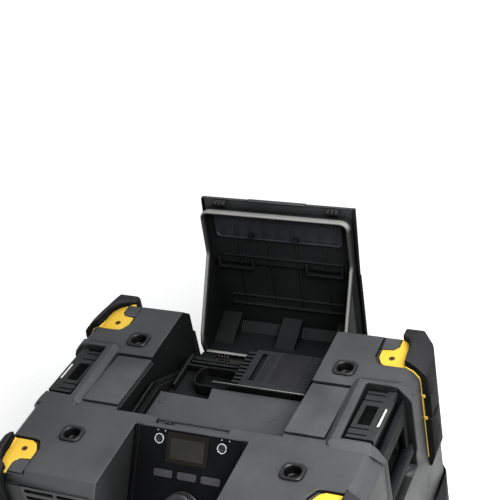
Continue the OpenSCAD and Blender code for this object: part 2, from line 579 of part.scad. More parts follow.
// ---------- lid, drawn closed and swung open about its hinge ----------
module swing() up() translate(hinge) rotate([-lid_open, 0, 0]) translate([0, -hinge[1], -hinge[2]]) children();

module lid_cover() color([0.13, 0.13, 0.14]) swing() difference() {
  union() {
    prism_x([[-41, -1.6], [-41, 3], [-40, 3.8], [66.4, -3.2], [70.4, 0], [177, 0], [194.5, -16.6], [194.2, -48], [199.3, -54.2], [199.3, -92],
      [196, -92], [196, -55.6], [190.8, -49.4], [191.1, -18.2], [175.6, -4], [69, -4], [65.4, -7.2], [-37, -0.4]], -122.4, 122.4);
    both() prism_x([[-41, -4], [-41, 3], [-40, 3.8], [66.4, -3.2], [70.4, 0], [177, 0], [194.5, -16.6], [194.2, -48], [199.3, -54.2], [199.3, -92],
      [192, -92], [192, -56], [187, -50], [187, -20], [174, -9], [67, -9], [64, -11], [-36, -5]], 119.9, 122.4);
    box([-46, -42.2, -3.6], [46, -40, 2.8]);
  }
  both() box([46, -45, -8], [47.2, -39.4, 8]);
}

module lid_liner() color([0.16, 0.16, 0.17]) swing() difference() {
  union() {
    difference() {
      prism_x([[-27, -21.4], [-27, -1.4], [65.5, -7.5], [69.2, -4.2], [175.4, -4.2], [190.4, -18.6], [190, -49], [190, -82.6], [182, -83],
        [168, -86.5], [155, -83.4], [45.9, -21.4]], -118, 118);
      prism_x([[-23, -120], [-23, -4.2], [64.5, -10], [68.3, -6.8], [174.2, -6.8], [186.8, -20], [186.6, -49], [186.6, -120]], -114, 114);
    }
    // ribs under the top
    for (x = [-67, -18, 27, 72]) prism_x([[25, -6], [64, -9.2], [69, -6.2], [143, -6.2], [143, -9], [68, -9], [64, -12.4], [25, -9.6]], x - 1.2, x + 1.2);
    prism_x([[49, -8], [51.4, -8], [51.4, -12.6], [49, -12.4]], -98, 100);
    box([-93, 123, -9], [93, 125, -6]);
    box([-93, 138, -10.5], [93, 140.6, -6]);
    // gussets that stiffen the rear corner
    for (p = [[-113.5, -82], [-12, 20], [78, 113.5]]) prism_x([[160, -6], [176, -6], [188, -19], [188, -56], [184, -54]], p[0], p[1]);
    // hinge knuckles
    for (p = [[-118, -92], [-24, 24], [92, 118]]) {
      rod_x(hinge[1], hinge[2], 5.2, p[0], p[1]);
      prism_x([[186.6, -82], [190, -82], [194.2, -97], [183.8, -97]], p[0], p[1]);
    }
  }
  rod_x(hinge[1], hinge[2], pin_d / 2 + pin_gap, -130, 130);
}

module lid_gasket() color([0.55, 0.53, 0.50]) swing() difference() {
  union() {
    both() prism_x([[-28.5, -13.5], [-28.5, -24.5], [45, -24.5], [154.3, -86.6], [168, -89.7], [184, -86], [184, -76], [168, -78.6], [156.5, -75.2], [47.9, -13.5]], 112.5, 119.5);
    box([-113, -28.5, -24.5], [113, -21.5, -13.5]);
    box([-113.1, 183.4, -86], [113.1, 185.6, -80]);
  }
  both() prism_x([[-27.1, 0], [-27.1, -21.5], [45.95, -21.5], [155, -83.55], [168, -86.65], [182.1, -83.1], [190.3, -82.7], [190.3, 0]], 113.9, 118.1);
  box([-114, -27.1, -21.5], [114, -22.9, 0]);
}

module lid_inner_panel() color([0.19, 0.20, 0.22]) swing() difference() {
  prism_x([[-20, -4.7], [22, -7.5], [22, -12.4], [-20, -9.6]], -107, 107);
  for (x = [-96 : 12 : 96]) prism_x([[-17, -8.4], [19, -10.8], [19, -15], [-17, -13]], x - 3, x + 3);
}

module lid_brackets() color([0.20, 0.20, 0.21]) swing() {
  for (x0 = [-104, 40]) difference() {
    box([x0, 53, -16], [x0 + 60, 72, -12.45]);
    box([x0 + 4, 50, -18], [x0 + 56, 68, -10]);
  }
  for (x = [-42, 30.2]) prism_x([[10, -11.65], [16, -12.05], [16, -19], [10, -19]], x - 2.9, x + 2.9);
}

module lid_catches() color([0.07, 0.07, 0.075]) swing() for (x = [-90, 90]) {
  box([x - 8, -39, -4.5], [x + 8, -29.5, -1.9]);
  for (d = [-8, -1.75, 4.5]) prism_x([[-39, -4.4], [-31, -4.4], [-33, -9], [-36, -12], [-39, -12]], x + d, x + d + 3.5);
}

module lid_keeper() color([0.07, 0.07, 0.075]) up() {
  box([-46, -54.6, -7.9], [-31, -45, -5.5]);
  for (x = [-46, -36]) prism_x([[-54.6, -6], [-45, -6], [-45, -3], [-51, 1.5], [-54.6, 1.5]], x, x + 5);
}

module lid_hinge_pin() color([0.75, 0.75, 0.77]) up() rod_x(hinge[1], hinge[2], pin_d / 2, -127, 127);

base_pan();
upper_housing();
socket_rail_left();
socket_rail_right();
side_pod_left();
side_pod_right();
rear_cover();
compartment_tub();
tray_plate();
battery_pocket();
charger_housing();
charger_plate();
charger_terminals();
deck_inlay_left();
deck_inlay_right();
socket_inserts();
bumper_rear_left();
bumper_rear_right();
bumper_front_left();
bumper_front_right();
lower_bumpers();
corner_brackets();
bracket_blocks();
bracket_screws();
bumper_screws();
striker_plate_left();
striker_plate_right();
striker_rods();
control_panel();
display_window();
display_module();
control_board();
speaker_grilles();
speaker_baskets();
speaker_cones();
speaker_magnets();
main_board();
power_supply();
mains_inlet();
housing_screws();
stacking_feet();
lid_keeper();
lid_hinge_pin();
handle_pins();
lid_cover();
lid_liner();
lid_gasket();
lid_inner_panel();
lid_brackets();
lid_catches();
volume_knob();
power_button();
source_button();
preset_button_1();
preset_button_2();
preset_button_3();
side_handle_left();
side_handle_right();
side_latch_left();
side_latch_right();
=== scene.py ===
import bpy
import bmesh
import json
import math
from math import radians, sin, cos, pi
from mathutils import Matrix, Vector


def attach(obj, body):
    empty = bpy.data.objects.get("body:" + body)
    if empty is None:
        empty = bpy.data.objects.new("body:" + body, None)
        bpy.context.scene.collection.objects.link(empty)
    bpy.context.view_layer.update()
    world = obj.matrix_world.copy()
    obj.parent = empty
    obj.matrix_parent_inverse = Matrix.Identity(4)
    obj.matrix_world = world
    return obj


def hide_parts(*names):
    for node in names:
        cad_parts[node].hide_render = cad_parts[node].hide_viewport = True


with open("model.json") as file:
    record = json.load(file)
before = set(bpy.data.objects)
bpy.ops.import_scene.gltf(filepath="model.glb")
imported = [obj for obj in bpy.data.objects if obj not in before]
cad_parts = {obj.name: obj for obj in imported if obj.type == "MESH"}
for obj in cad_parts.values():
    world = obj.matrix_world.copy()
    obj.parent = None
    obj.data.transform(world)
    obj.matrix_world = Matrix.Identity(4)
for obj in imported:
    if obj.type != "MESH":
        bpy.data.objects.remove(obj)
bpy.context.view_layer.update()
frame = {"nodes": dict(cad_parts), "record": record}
NODES = frame["nodes"]
BODY = {}
for _b, _ns in frame["record"]["behaviour"]["bodies"].items():
    for _n in _ns:
        BODY[_n] = _b
SLOT = {s["node"]: s["material_slot"] for s in frame["record"]["subparts"]}
MM = 0.001
DECK = 0.340                       # height of the deck, metres


def P(x, y, z):
    """A point given in millimetres, z measured from the deck."""
    return Vector((x * MM, y * MM, z * MM + DECK))


# The lid is drawn closed and swung open, as the CAD does.
HINGE = P(0, 189, -97)
M_LID = Matrix.Translation(HINGE) @ Matrix.Rotation(radians(-94), 4, "X") @ Matrix.Translation(-HINGE)
# The striker plates' frame slopes gently to the front.
M_STRIKER = Matrix.Translation(P(0, 70, -3.5)) @ Matrix.Rotation(radians(-3.78), 4, "X")
SCREW_AT = (214.9, 138.1)
# The control panel's own frame: x across, y up the slope, z out of the face.
M_PANEL = Matrix.Translation(P(0, -61, 0)) @ Matrix.Rotation(radians(52), 4, "X")


# ------------------------------------------------------------------ materials
def material(name, col, rough=0.45, spec=0.5, metallic=0.0, grain=1300.0, bump=0.35, depth=0.00006,
             mottle=0.14, rough_var=0.10, edge=0.30, edge_col=None, coat=0.0, coat_rough=0.12,
             scuff=0.0, brushed=None, big=11.0, sheen=0.0, painted_shade=0.92, reach=0.055, side=0.62):
    m = bpy.data.materials.new(name)
    m.use_nodes = True
    nt = m.node_tree
    nt.nodes.clear()
    N, L = nt.nodes, nt.links
    out = N.new("ShaderNodeOutputMaterial")
    b = N.new("ShaderNodeBsdfPrincipled")
    L.new(b.outputs[0], out.inputs[0])
    b.inputs["Metallic"].default_value = metallic
    b.inputs["Specular IOR Level"].default_value = spec
    if coat:
        b.inputs["Coat Weight"].default_value = coat
        b.inputs["Coat Roughness"].default_value = coat_rough
    if sheen:
        b.inputs["Sheen Weight"].default_value = sheen
        b.inputs["Sheen Roughness"].default_value = 0.5
    tc = N.new("ShaderNodeTexCoord")
    src = tc.outputs["Object"]
    if brushed:
        mp = N.new("ShaderNodeMapping")
        mp.inputs["Scale"].default_value = brushed
        L.new(src, mp.inputs["Vector"])
        gsrc = mp.outputs[0]
    else:
        gsrc = src
    fine = N.new("ShaderNodeTexNoise")
    fine.inputs["Scale"].default_value = grain
    fine.inputs["Detail"].default_value = 3.0
    fine.inputs["Roughness"].default_value = 0.62
    L.new(gsrc, fine.inputs["Vector"])
    large = N.new("ShaderNodeTexNoise")
    large.inputs["Scale"].default_value = big
    large.inputs["Detail"].default_value = 5.0
    large.inputs["Roughness"].default_value = 0.55
    L.new(src, large.inputs["Vector"])
    # colour: two close tones, mottled by the large noise and speckled by the fine one
    mix = N.new("ShaderNodeMix")
    mix.data_type = "RGBA"
    lo = [c * (1 - mottle) for c in col]
    hi = [c * (1 + mottle) + 0.0006 for c in col]
    mix.inputs["A"].default_value = (*lo, 1)
    mix.inputs["B"].default_value = (*hi, 1)
    ramp = N.new("ShaderNodeMapRange")
    ramp.inputs["From Min"].default_value = 0.32
    ramp.inputs["From Max"].default_value = 0.68
    L.new(large.outputs["Fac"], ramp.inputs["Value"])
    add = N.new("ShaderNodeMath")
    add.operation = "MULTIPLY_ADD"
    add.use_clamp = True
    L.new(fine.outputs["Fac"], add.inputs[0])
    add.inputs[1].default_value = 0.5
    L.new(ramp.outputs[0], add.inputs[2])
    sub = N.new("ShaderNodeMath")
    sub.operation = "SUBTRACT"
    sub.use_clamp = True
    L.new(add.outputs[0], sub.inputs[0])
    sub.inputs[1].default_value = 0.25
    L.new(sub.outputs[0], mix.inputs["Factor"])
    colour = mix.outputs["Result"]
    if edge > 0:
        geo = N.new("ShaderNodeNewGeometry")
        er = N.new("ShaderNodeMapRange")
        er.inputs["From Min"].default_value = 0.515
        er.inputs["From Max"].default_value = 0.60
        er.inputs["To Max"].default_value = edge
        L.new(geo.outputs["Pointiness"], er.inputs["Value"])
        em = N.new("ShaderNodeMath")
        em.operation = "MULTIPLY"
        em.use_clamp = True
        L.new(er.outputs[0], em.inputs[0])
        L.new(ramp.outputs[0], em.inputs[1])
        wear = N.new("ShaderNodeMix")
        wear.data_type = "RGBA"
        L.new(em.outputs[0], wear.inputs["Factor"])
        L.new(colour, wear.inputs["A"])
        wc = edge_col or [min(1.0, c * 2.2 + 0.02) for c in col]
        wear.inputs["B"].default_value = (*wc, 1)
        colour = wear.outputs["Result"]
    if painted_shade > 0:
        # painted shade: open faces keep their colour, while joints and deep recesses, where ambient occlusion finds
        # shade, go darker
        ao = N.new("ShaderNodeAmbientOcclusion")
        ao.samples = 6
        ao.inputs["Distance"].default_value = reach
        pw = N.new("ShaderNodeMath")
        pw.operation = "POWER"
        L.new(ao.outputs["AO"], pw.inputs[0])
        pw.inputs[1].default_value = 1.7
        ar = N.new("ShaderNodeMapRange")
        ar.inputs["From Min"].default_value = 0.05
        ar.inputs["From Max"].default_value = 0.85
        ar.inputs["To Min"].default_value = 1 - painted_shade
        L.new(pw.outputs[0], ar.inputs["Value"])
        # painted light: faces that look up are paler and upright faces darker, as if lit from above
        gn = N.new("ShaderNodeNewGeometry")
        sep = N.new("ShaderNodeSeparateXYZ")
        L.new(gn.outputs["Normal"], sep.inputs[0])
        fr = N.new("ShaderNodeMapRange")
        fr.inputs["From Min"].default_value = 0.0
        fr.inputs["From Max"].default_value = 0.68
        fr.inputs["To Min"].default_value = 1 - side
        L.new(sep.outputs["Z"], fr.inputs["Value"])
        both = N.new("ShaderNodeMath")
        both.operation = "MULTIPLY"
        L.new(ar.outputs[0], both.inputs[0])
        L.new(fr.outputs[0], both.inputs[1])
        ar = both
        # mix towards near-black by the painted shade factor (crevices and upright faces)
        dk = N.new("ShaderNodeMix")
        dk.data_type = "RGBA"
        L.new(ar.outputs[0], dk.inputs["Factor"])
        dk.inputs["A"].default_value = (0.0004, 0.0004, 0.0004, 1)
        L.new(colour, dk.inputs["B"])
        colour = dk.outputs["Result"]
    L.new(colour, b.inputs["Base Color"])
    rr = N.new("ShaderNodeMapRange")
    rr.inputs["From Min"].default_value = 0.3
    rr.inputs["From Max"].default_value = 0.7
    rr.inputs["To Min"].default_value = max(0.03, rough - rough_var)
    rr.inputs["To Max"].default_value = min(1.0, rough + rough_var)
    L.new(large.outputs["Fac"], rr.inputs["Value"])
    rough_out = rr.outputs[0]
    if scuff > 0:
        # faint rub marks: stretched noise that raises the roughness in streaks
        mp2 = N.new("ShaderNodeMapping")
        mp2.inputs["Scale"].default_value = (60, 9, 25)
        mp2.inputs["Rotation"].default_value = (0.3, 0.2, 0.6)
        L.new(src, mp2.inputs["Vector"])
        s = N.new("ShaderNodeTexNoise")
        s.inputs["Scale"].default_value = 3.0
        s.inputs["Detail"].default_value = 6.0
        L.new(mp2.outputs[0], s.inputs["Vector"])
        sr = N.new("ShaderNodeMapRange")
        sr.inputs["From Min"].default_value = 0.58
        sr.inputs["From Max"].default_value = 0.74
        sr.inputs["To Max"].default_value = scuff
        L.new(s.outputs["Fac"], sr.inputs["Value"])
        ad = N.new("ShaderNodeMath")
        ad.operation = "ADD"
        ad.use_clamp = True
        L.new(rough_out, ad.inputs[0])
        L.new(sr.outputs[0], ad.inputs[1])
        rough_out = ad.outputs[0]
    L.new(rough_out, b.inputs["Roughness"])
    if bump > 0:
        bp = N.new("ShaderNodeBump")
        bp.inputs["Strength"].default_value = bump
        bp.inputs["Distance"].default_value = depth
        L.new(fine.outputs["Fac"], bp.inputs["Height"])
        L.new(bp.outputs[0], b.inputs["Normal"])
    return m


# The darkening values below paint shade into crevices and onto upright faces of each material.
MAT = {
    "housing": material("housing_satin", (0.040, 0.0415, 0.0425), rough=0.48, spec=0.24, scuff=0.10, reach=0.11, side=0.62),
    # darker copy of the housing plastic: painted shade for the recess and well walls
    "recess": material("recess_grained", (0.0125, 0.0132, 0.0138), rough=0.58, spec=0.12, grain=900, bump=0.45, edge=0.2,
                       reach=0.10),
    # near-black: painted shade under the striker plates' windows
    "void": material("window_painted_shade_black", (0.0022, 0.0022, 0.0024), rough=0.8, spec=0.05, grain=700, bump=0.6, edge=0.0),
    "pan": material("pan_satin", (0.030, 0.031, 0.0325), rough=0.50, scuff=0.14),
    "tub": material("tub_satin", (0.0135, 0.0142, 0.0148), rough=0.54, spec=0.15, reach=0.10),
    "tray": material("tray_satin", (0.042, 0.0435, 0.0455), rough=0.46, spec=0.3, scuff=0.08),
    "label": material("label_panel", (0.012, 0.012, 0.013), rough=0.40, spec=0.3, bump=0.15, edge=0.1),
    "deck": material("deck_inlay_satin", (0.040, 0.0415, 0.0425), rough=0.46, spec=0.36, scuff=0.08),
    "socket": material("socket_smooth", (0.016, 0.016, 0.017), rough=0.42, spec=0.22, bump=0.12, painted_shade=0.98, reach=0.05),
    "rubber": material("bumper_rubber", (0.0205, 0.0205, 0.0217), rough=0.66, spec=0.035, side=0.66, grain=800, bump=0.5, depth=0.00010,
                       edge=0.45, edge_col=(0.075, 0.073, 0.070), scuff=0.16),
    "yellow": material("bracket_yellow", (0.56, 0.352, 0.030), rough=0.42, painted_shade=0.5, reach=0.012, side=0.3, mottle=0.05, bump=0.25, edge=0.25,
                       edge_col=(1.0, 0.78, 0.22), coat=0.15, scuff=0.06),
    "screw": material("screw_dark_zinc", (0.075, 0.058, 0.036), rough=0.42, metallic=0.7, grain=700, bump=0.3, edge=0.4),
    "steel": material("steel_bright", (0.80, 0.81, 0.82), rough=0.20, metallic=1.0, brushed=(1, 0.02, 1), grain=1800, painted_shade=0,
                      bump=0.18, mottle=0.06, edge=0.0),
    "gloss": material("panel_gloss_black", (0.0032, 0.0033, 0.0037), rough=0.22, spec=0.08, bump=0.04, mottle=0.06, coat=0.04,
                      coat_rough=0.06, rough_var=0.05, edge=0.1),
    "glass": material("display_window_tint", (0.0055, 0.0050, 0.0034), rough=0.12, bump=0.03, coat=0.06, coat_rough=0.10,
                      rough_var=0.04, edge=0.0),
    "lcd": material("display_cell", (0.0125, 0.0122, 0.0100), rough=0.30, bump=0.05, mottle=0.06, edge=0.0),
    "board": material("board_laminate", (0.010, 0.085, 0.035), rough=0.35, bump=0.2),
    "grille": material("grille_satin", (0.022, 0.022, 0.023), rough=0.48),
    "basket": material("basket_paint", (0.05, 0.05, 0.053), rough=0.45, metallic=0.0, grain=900),
    "cone": material("cone_woven", (0.016, 0.016, 0.017), rough=0.75, grain=1600, bump=0.8, depth=0.00015, edge=0),
    "magnet": material("magnet_iron", (0.14, 0.14, 0.145), rough=0.55, metallic=0.7, grain=500, bump=0.5),
    "supply": material("supply_parts", (0.33, 0.29, 0.17), rough=0.5, grain=500, bump=0.5),
    "soft": material("catch_rubber", (0.013, 0.013, 0.014), rough=0.60, grain=900, bump=0.4, edge=0.35),
    "lid": material("lid_satin", (0.034, 0.035, 0.0365), rough=0.50, spec=0.3, scuff=0.10, side=0.45, reach=0.02),
    "liner": material("liner_satin", (0.0095, 0.0102, 0.0106), rough=0.56, spec=0.10, reach=0.09),
    "gasket": material("gasket_foam_rubber", (0.175, 0.174, 0.167), rough=0.78, spec=0.05, grain=900, bump=0.6,
                       depth=0.00012, mottle=0.12, edge=0.2, edge_col=(0.22, 0.215, 0.20), reach=0.03, side=0.95),
    "lidpanel": material("lid_panel_satin", (0.026, 0.028, 0.033), rough=0.50, spec=0.15, bump=0.4, side=0.75),
    "knob": material("knob_satin", (0.016, 0.016, 0.017), rough=0.40, bump=0.4, edge=0.4),
    "ring": material("ring_white", (0.46, 0.47, 0.50), rough=0.30, painted_shade=0, bump=0.08, mottle=0.04, edge=0.0, coat=0.3),
    "key": material("key_black", (0.012, 0.012, 0.013), rough=0.26, bump=0.08, coat=0.3),
    "button": material("button_satin", (0.022, 0.022, 0.024), rough=0.42),
    "handle": material("handle_satin", (0.0066, 0.0074, 0.0084), rough=0.58, spec=0.05, scuff=0.12, reach=0.10, side=0.72),
    "striker": material("striker_satin", (0.0165, 0.0172, 0.0176), rough=0.52, spec=0.2, scuff=0.08, reach=0.03),
    "rod": material("rod_steel", (0.80, 0.80, 0.78), rough=0.30, metallic=0.65, brushed=(1, 0.02, 1), grain=1800,
                    bump=0.18, mottle=0.06, edge=0.0, painted_shade=0),
    "terminal": material("terminal_plated", (0.16, 0.155, 0.14), rough=0.40, metallic=0.8, grain=1500, bump=0.2, edge=0, painted_shade=0.7,
                         reach=0.02),
    "railedge": material("rail_edge_worn", (0.10, 0.10, 0.097), rough=0.40, spec=0.5, bump=0.2, mottle=0.2, edge=0, painted_shade=0),
    "pocket": material("pocket_satin", (0.0050, 0.0053, 0.0056), rough=0.50, spec=0.14, grain=900, reach=0.06),
    # near-black copy of the lid plastic: painted shade for the lid's side rims
    "lid_rim_shade": material("lid_rim_painted_shade", (0.0050, 0.0052, 0.0054), rough=0.68, spec=0.01, reach=0.05, side=0.4),
    "mark": material("indicator_grey", (0.20, 0.21, 0.22), rough=0.35, bump=0.08, mottle=0.04, edge=0.0, painted_shade=0),
    "rust": material("screw_ring_brown", (0.060, 0.033, 0.008), rough=0.55, grain=700, bump=0.3, edge=0, painted_shade=0),
}

SLOT_MAT = {
    "housing_plastic": "housing", "pan_plastic": "pan", "tub_plastic": "tub", "tray_plastic": "tray",
    "label_plastic": "label", "deck_plastic": "deck", "socket_plastic": "socket", "bumper_rubber": "rubber",
    "yellow_plastic": "yellow", "dark_screw": "screw", "bright_steel": "steel", "gloss_black": "gloss",
    "display_tint": "glass", "display_glass": "lcd", "board_green": "board", "grille_plastic": "grille",
    "basket_steel": "basket", "cone_paper": "cone", "magnet_iron": "magnet", "supply_parts": "supply",
    "catch_rubber": "soft", "lid_plastic": "lid", "liner_plastic": "liner", "gasket_rubber": "gasket",
    "lid_panel_plastic": "lidpanel", "knob_plastic": "knob", "ring_white": "key", "button_plastic": "button",
    "handle_plastic": "handle",
}


# ------------------------------------------------------------------ mesh helpers
def new_piece(name, bm, mat, body, smooth=32, replaces=()):
    me = bpy.data.meshes.new(name)
    bm.normal_update()
    bm.to_mesh(me)
    bm.free()
    for p in me.polygons:
        p.use_smooth = True
    if smooth is not None:
        me.set_sharp_from_angle(angle=radians(smooth))
    o = bpy.data.objects.new(name, me)
    bpy.context.scene.collection.objects.link(o)
    me.materials.append(MAT[mat] if isinstance(mat, str) else mat)
    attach(o, body)
    if replaces:
        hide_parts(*replaces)
    return o


def weigh_edges(bm, width, min_angle=28.0, pick=None, limit=0.42):
    """Gives each sharp edge a bevel weight that its shortest neighbour allows."""
    lay = bm.edges.layers.float.get("bevel_weight_edge") or bm.edges.layers.float.new("bevel_weight_edge")
    sharp = {}
    for e in bm.edges:
        if len(e.link_faces) == 2:
            a = e.calc_face_angle(0.0)
            sharp[e] = a > radians(min_angle)
        else:
            sharp[e] = False
    for e in bm.edges:
        if not sharp[e]:
            continue
        m = e.calc_length() * 1.2
        for v in e.verts:
            for o in v.link_edges:
                if o is e:
                    continue
                # only the edges that share a face with this one take its offset
                if any(f in e.link_faces for f in o.link_faces):
                    m = min(m, o.calc_length())
        w = width if pick is None else width * pick(e)
        use = min(w, limit * m)
        e[lay] = max(0.0, min(1.0, use / width))
        if e[lay] < 0.06:
            e[lay] = 0.0
            e.smooth = False


def cad_mesh(node, dissolve=0.4):
    bm = bmesh.new()
    bm.from_mesh(NODES[node].data)
    bmesh.ops.remove_doubles(bm, verts=bm.verts, dist=1e-6)
    bmesh.ops.dissolve_limit(bm, angle_limit=radians(dissolve), verts=bm.verts, edges=bm.edges)
    loose = [v for v in bm.verts if not v.link_faces]
    bmesh.ops.delete(bm, geom=loose, context="VERTS")
    for f in bm.faces:
        f.smooth = True
    for l in list(bm.loops.layers.uv):
        bm.loops.layers.uv.remove(l)
    return bm


def rounded_mesh(bm, name, width, segs=2, pick=None, min_angle=28.0, limit=0.42):
    """Rounds the sharp edges of bm and returns the finished mesh. width is in millimetres."""
    weigh_edges(bm, width * MM, min_angle, pick, limit)
    # convex faces stay simple when their edges are rounded
    bmesh.ops.connect_verts_concave(bm, faces=[f for f in bm.faces if len(f.verts) > 4])
    me = bpy.data.meshes.new(name + "_raw")
    bm.to_mesh(me)
    bm.free()
    o = bpy.data.objects.new(name + "_raw", me)
    bpy.context.scene.collection.objects.link(o)
    bv = o.modifiers.new("round", "BEVEL")
    bv.width = width * MM
    bv.segments = segs
    bv.limit_method = "WEIGHT"
    bv.use_clamp_overlap = False
    bv.loop_slide = False
    bv.profile = 0.5
    bv.miter_outer = "MITER_ARC"
    bpy.context.view_layer.update()
    ev = o.evaluated_get(bpy.context.evaluated_depsgraph_get())
    me2 = bpy.data.meshes.new_from_object(ev)
    bpy.data.objects.remove(o)
    bpy.data.meshes.remove(me)
    bm = bmesh.new()
    bm.from_mesh(me2)
    bmesh.ops.remove_doubles(bm, verts=bm.verts, dist=5e-6)
    bmesh.ops.dissolve_degenerate(bm, dist=5e-6, edges=bm.edges)
    bmesh.ops.delete(bm, geom=[v for v in bm.verts if not v.link_faces], context="VERTS")
    for f in bm.faces:
        f.smooth = True
    bm.to_mesh(me2)
    bm.free()
    me2.name = name
    return me2


def mesh_piece(name, me, mat, body, replaces=()):
    o = bpy.data.objects.new(name, me)
    bpy.context.scene.collection.objects.link(o)
    me.materials.clear()
    me.materials.append(MAT[mat])
    wn = o.modifiers.new("normals", "WEIGHTED_NORMAL")
    wn.keep_sharp = True
    wn.weight = 60
    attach(o, body)
    if replaces:
        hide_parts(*replaces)
    return o


def widen_plate(bm):
    """Moves the window, the rod's slot and the outer edge of a striker plate outward a little."""
    for v in bm.verts:
        x = abs(v.co.x) / MM
        if x > 207.5:
            v.co.x += 2.1 * MM if v.co.x > 0 else 0.8 * MM
        q = M_STRIKER.inverted() @ v.co
        if abs(q.z / MM + 0.5) < 0.06:
            q.z -= 2.6 * MM
            v.co = M_STRIKER @ q


def bevelled(node, width=1.2, segs=2, mat=None, pick=None, min_angle=28.0, limit=0.42, name=None, prep=None):
    """A copy of a CAD node with its moulded edges rounded. width is in millimetres."""
    name = name or node + "_moulded"
    bm = cad_mesh(node)
    if prep:
        prep(bm)
    me = rounded_mesh(bm, name, width, segs, pick, min_angle, limit)
    box = [[f(v.co[k] for v in NODES[node].data.vertices) for f in (min, max)] for k in range(3)]
    if prep is widen_plate:
        box[0] = [box[0][0] - 2.2 * MM, box[0][1] + 2.2 * MM]
    for v in me.vertices:
        for k in range(3):
            v.co[k] = min(max(v.co[k], box[k][0]), box[k][1])
    return mesh_piece(name, me, mat or SLOT_MAT[SLOT[node]], BODY[node], (node,))


def lathe(bm, prof, n, place, closed=False):
    """Turns a profile of (radius, height) pairs, in millimetres, into a surface through place()."""
    rings = []
    for r, z in prof:
        if r < 1e-6:
            rings.append([bm.verts.new(place(0, 0, z))])
        else:
            rings.append([bm.verts.new(place(r * cos(2 * pi * i / n), r * sin(2 * pi * i / n), z)) for i in range(n)])
    skin(bm, rings)
    return rings


def skin(bm, rings, cap_first=False, cap_last=False):
    for a, b in zip(rings, rings[1:]):
        n = max(len(a), len(b))
        for i in range(n):
            j = (i + 1) % n
            if len(a) == 1:
                bm.faces.new((a[0], b[i], b[j]))
            elif len(b) == 1:
                bm.faces.new((a[i], a[j], b[0]))
            else:
                bm.faces.new((a[i], a[j], b[j], b[i]))
    if cap_first:
        bm.faces.new(list(reversed(rings[0])))
    if cap_last:
        bm.faces.new(rings[-1])


def rr_loop(hx, hy, r, n=12):
    """Points of a rounded rectangle, n on each corner arc."""
    r = min(r, hx - 1e-4, hy - 1e-4)
    pts = []
    for k, (sx, sy) in enumerate(((1, 1), (-1, 1), (-1, -1), (1, -1))):
        for i in range(n):
            a = (k + i / (n - 1)) * pi / 2
            pts.append((sx * (hx - r) + r * cos(a), sy * (hy - r) + r * sin(a)))
    return pts


def rings_from(bm, sections, place, n=12):
    """sections: (half x, half y, corner radius, z) in millimetres."""
    return [[bm.verts.new(place(x, y, z)) for x, y in rr_loop(hx, hy, r, n)] for hx, hy, r, z in sections]


def sweep(bm, path, section, closed_path=False):
    """path: list of (origin, side, up) vectors; section: list of (side, up) pairs in millimetres."""
    rings = [[bm.verts.new(o + s * (a * MM) + u * (b * MM)) for a, b in section] for o, s, u in path]
    if closed_path:
        rings.append(rings[0])
    skin(bm, rings, cap_first=not closed_path, cap_last=not closed_path)
    return rings


# ------------------------------------------------------------------ camera first
def make_camera():
    az, el, ro = radians(28.53), radians(33.49), radians(-11.02)
    f = Vector((-sin(az) * cos(el), cos(az) * cos(el), -sin(el)))
    right = Vector((cos(az), sin(az), 0))
    up = right.cross(f)
    rx = right * cos(ro) + up * sin(ro)
    ry = up * cos(ro) - right * sin(ro)
    loc = Vector((0.7050, -1.1027, 1.4318))
    data = bpy.data.cameras.new("camera")
    cam = bpy.data.objects.new("camera", data)
    bpy.context.scene.collection.objects.link(cam)
    cam.matrix_world = Matrix(((rx.x, ry.x, -f.x, loc.x), (rx.y, ry.y, -f.y, loc.y),
                               (rx.z, ry.z, -f.z, loc.z), (0, 0, 0, 1)))
    data.lens = 90.05
    data.sensor_width = 36.0
    data.clip_start = 0.05
    data.clip_end = 60
    bpy.context.scene.camera = cam
    return cam


make_camera()

# ------------------------------------------------------------------ the housing as one moulding
HOUSING = ("upper_housing", "socket_rail_left", "socket_rail_right", "side_pod_left", "side_pod_right")
SEAMS = (0.1476, 0.1724)


def housing_piece():
    bm = bmesh.new()
    for n in HOUSING:
        bm.from_mesh(NODES[n].data)
    bm.normal_update()
    # the faces between the five solids lie on planes of constant x
    inner = [f for f in bm.faces if abs(abs(f.normal.x) - 1) < 1e-4
             and any(abs(abs(f.calc_center_median().x) - s) < 2e-5 for s in SEAMS)]
    bmesh.ops.delete(bm, geom=inner, context="FACES")
    bmesh.ops.remove_doubles(bm, verts=bm.verts, dist=4e-6)
    bmesh.ops.dissolve_limit(bm, angle_limit=radians(0.4), verts=bm.verts, edges=bm.edges)
    bmesh.ops.delete(bm, geom=[v for v in bm.verts if not v.link_faces], context="VERTS")
    for l in list(bm.loops.layers.uv):
        bm.loops.layers.uv.remove(l)

    def pick(e):
        c = (e.verts[0].co + e.verts[1].co) / 2
        x, y, z = abs(c.x) / MM, c.y / MM, (c.z - DECK) / MM
        if abs(z) < 0.8 and not e.is_convex:
            return 0.15
        if x > 177 and -56 < y < 96 and z > -125 and not (x < 243 and z < -3 and -37 < y < 77):
            return 1.0
        if x < 126 and -60 < y < 205 and z > -60:
            return 0.32
        return 0.48
    me = rounded_mesh(bm, "housing_moulded", 3.4, 3, pick)
    o = mesh_piece("housing_moulded", me, "housing", "housing", HOUSING)
    # the insides of the compartment and of the side recesses have the coarser grain, and a darker copy of the plastic
    # that paints shade into them
    me.materials.append(MAT["recess"])
    for f in me.polygons:
        x, y, z = abs(f.center.x) / MM, f.center.y / MM, (f.center.z - DECK) / MM
        side = 200 < x < 257 and -37.8 < y < 77.8 and -119 < z < -9
        well = x < 126.5 and -52 < y < 186 and z < -5 and f.normal.z < 0.6
        if side or well:
            f.material_index = 1
    return o


housing_piece()

# ------------------------------------------------------------------ the lid's liner and gasket
LID_INV = M_LID.inverted()


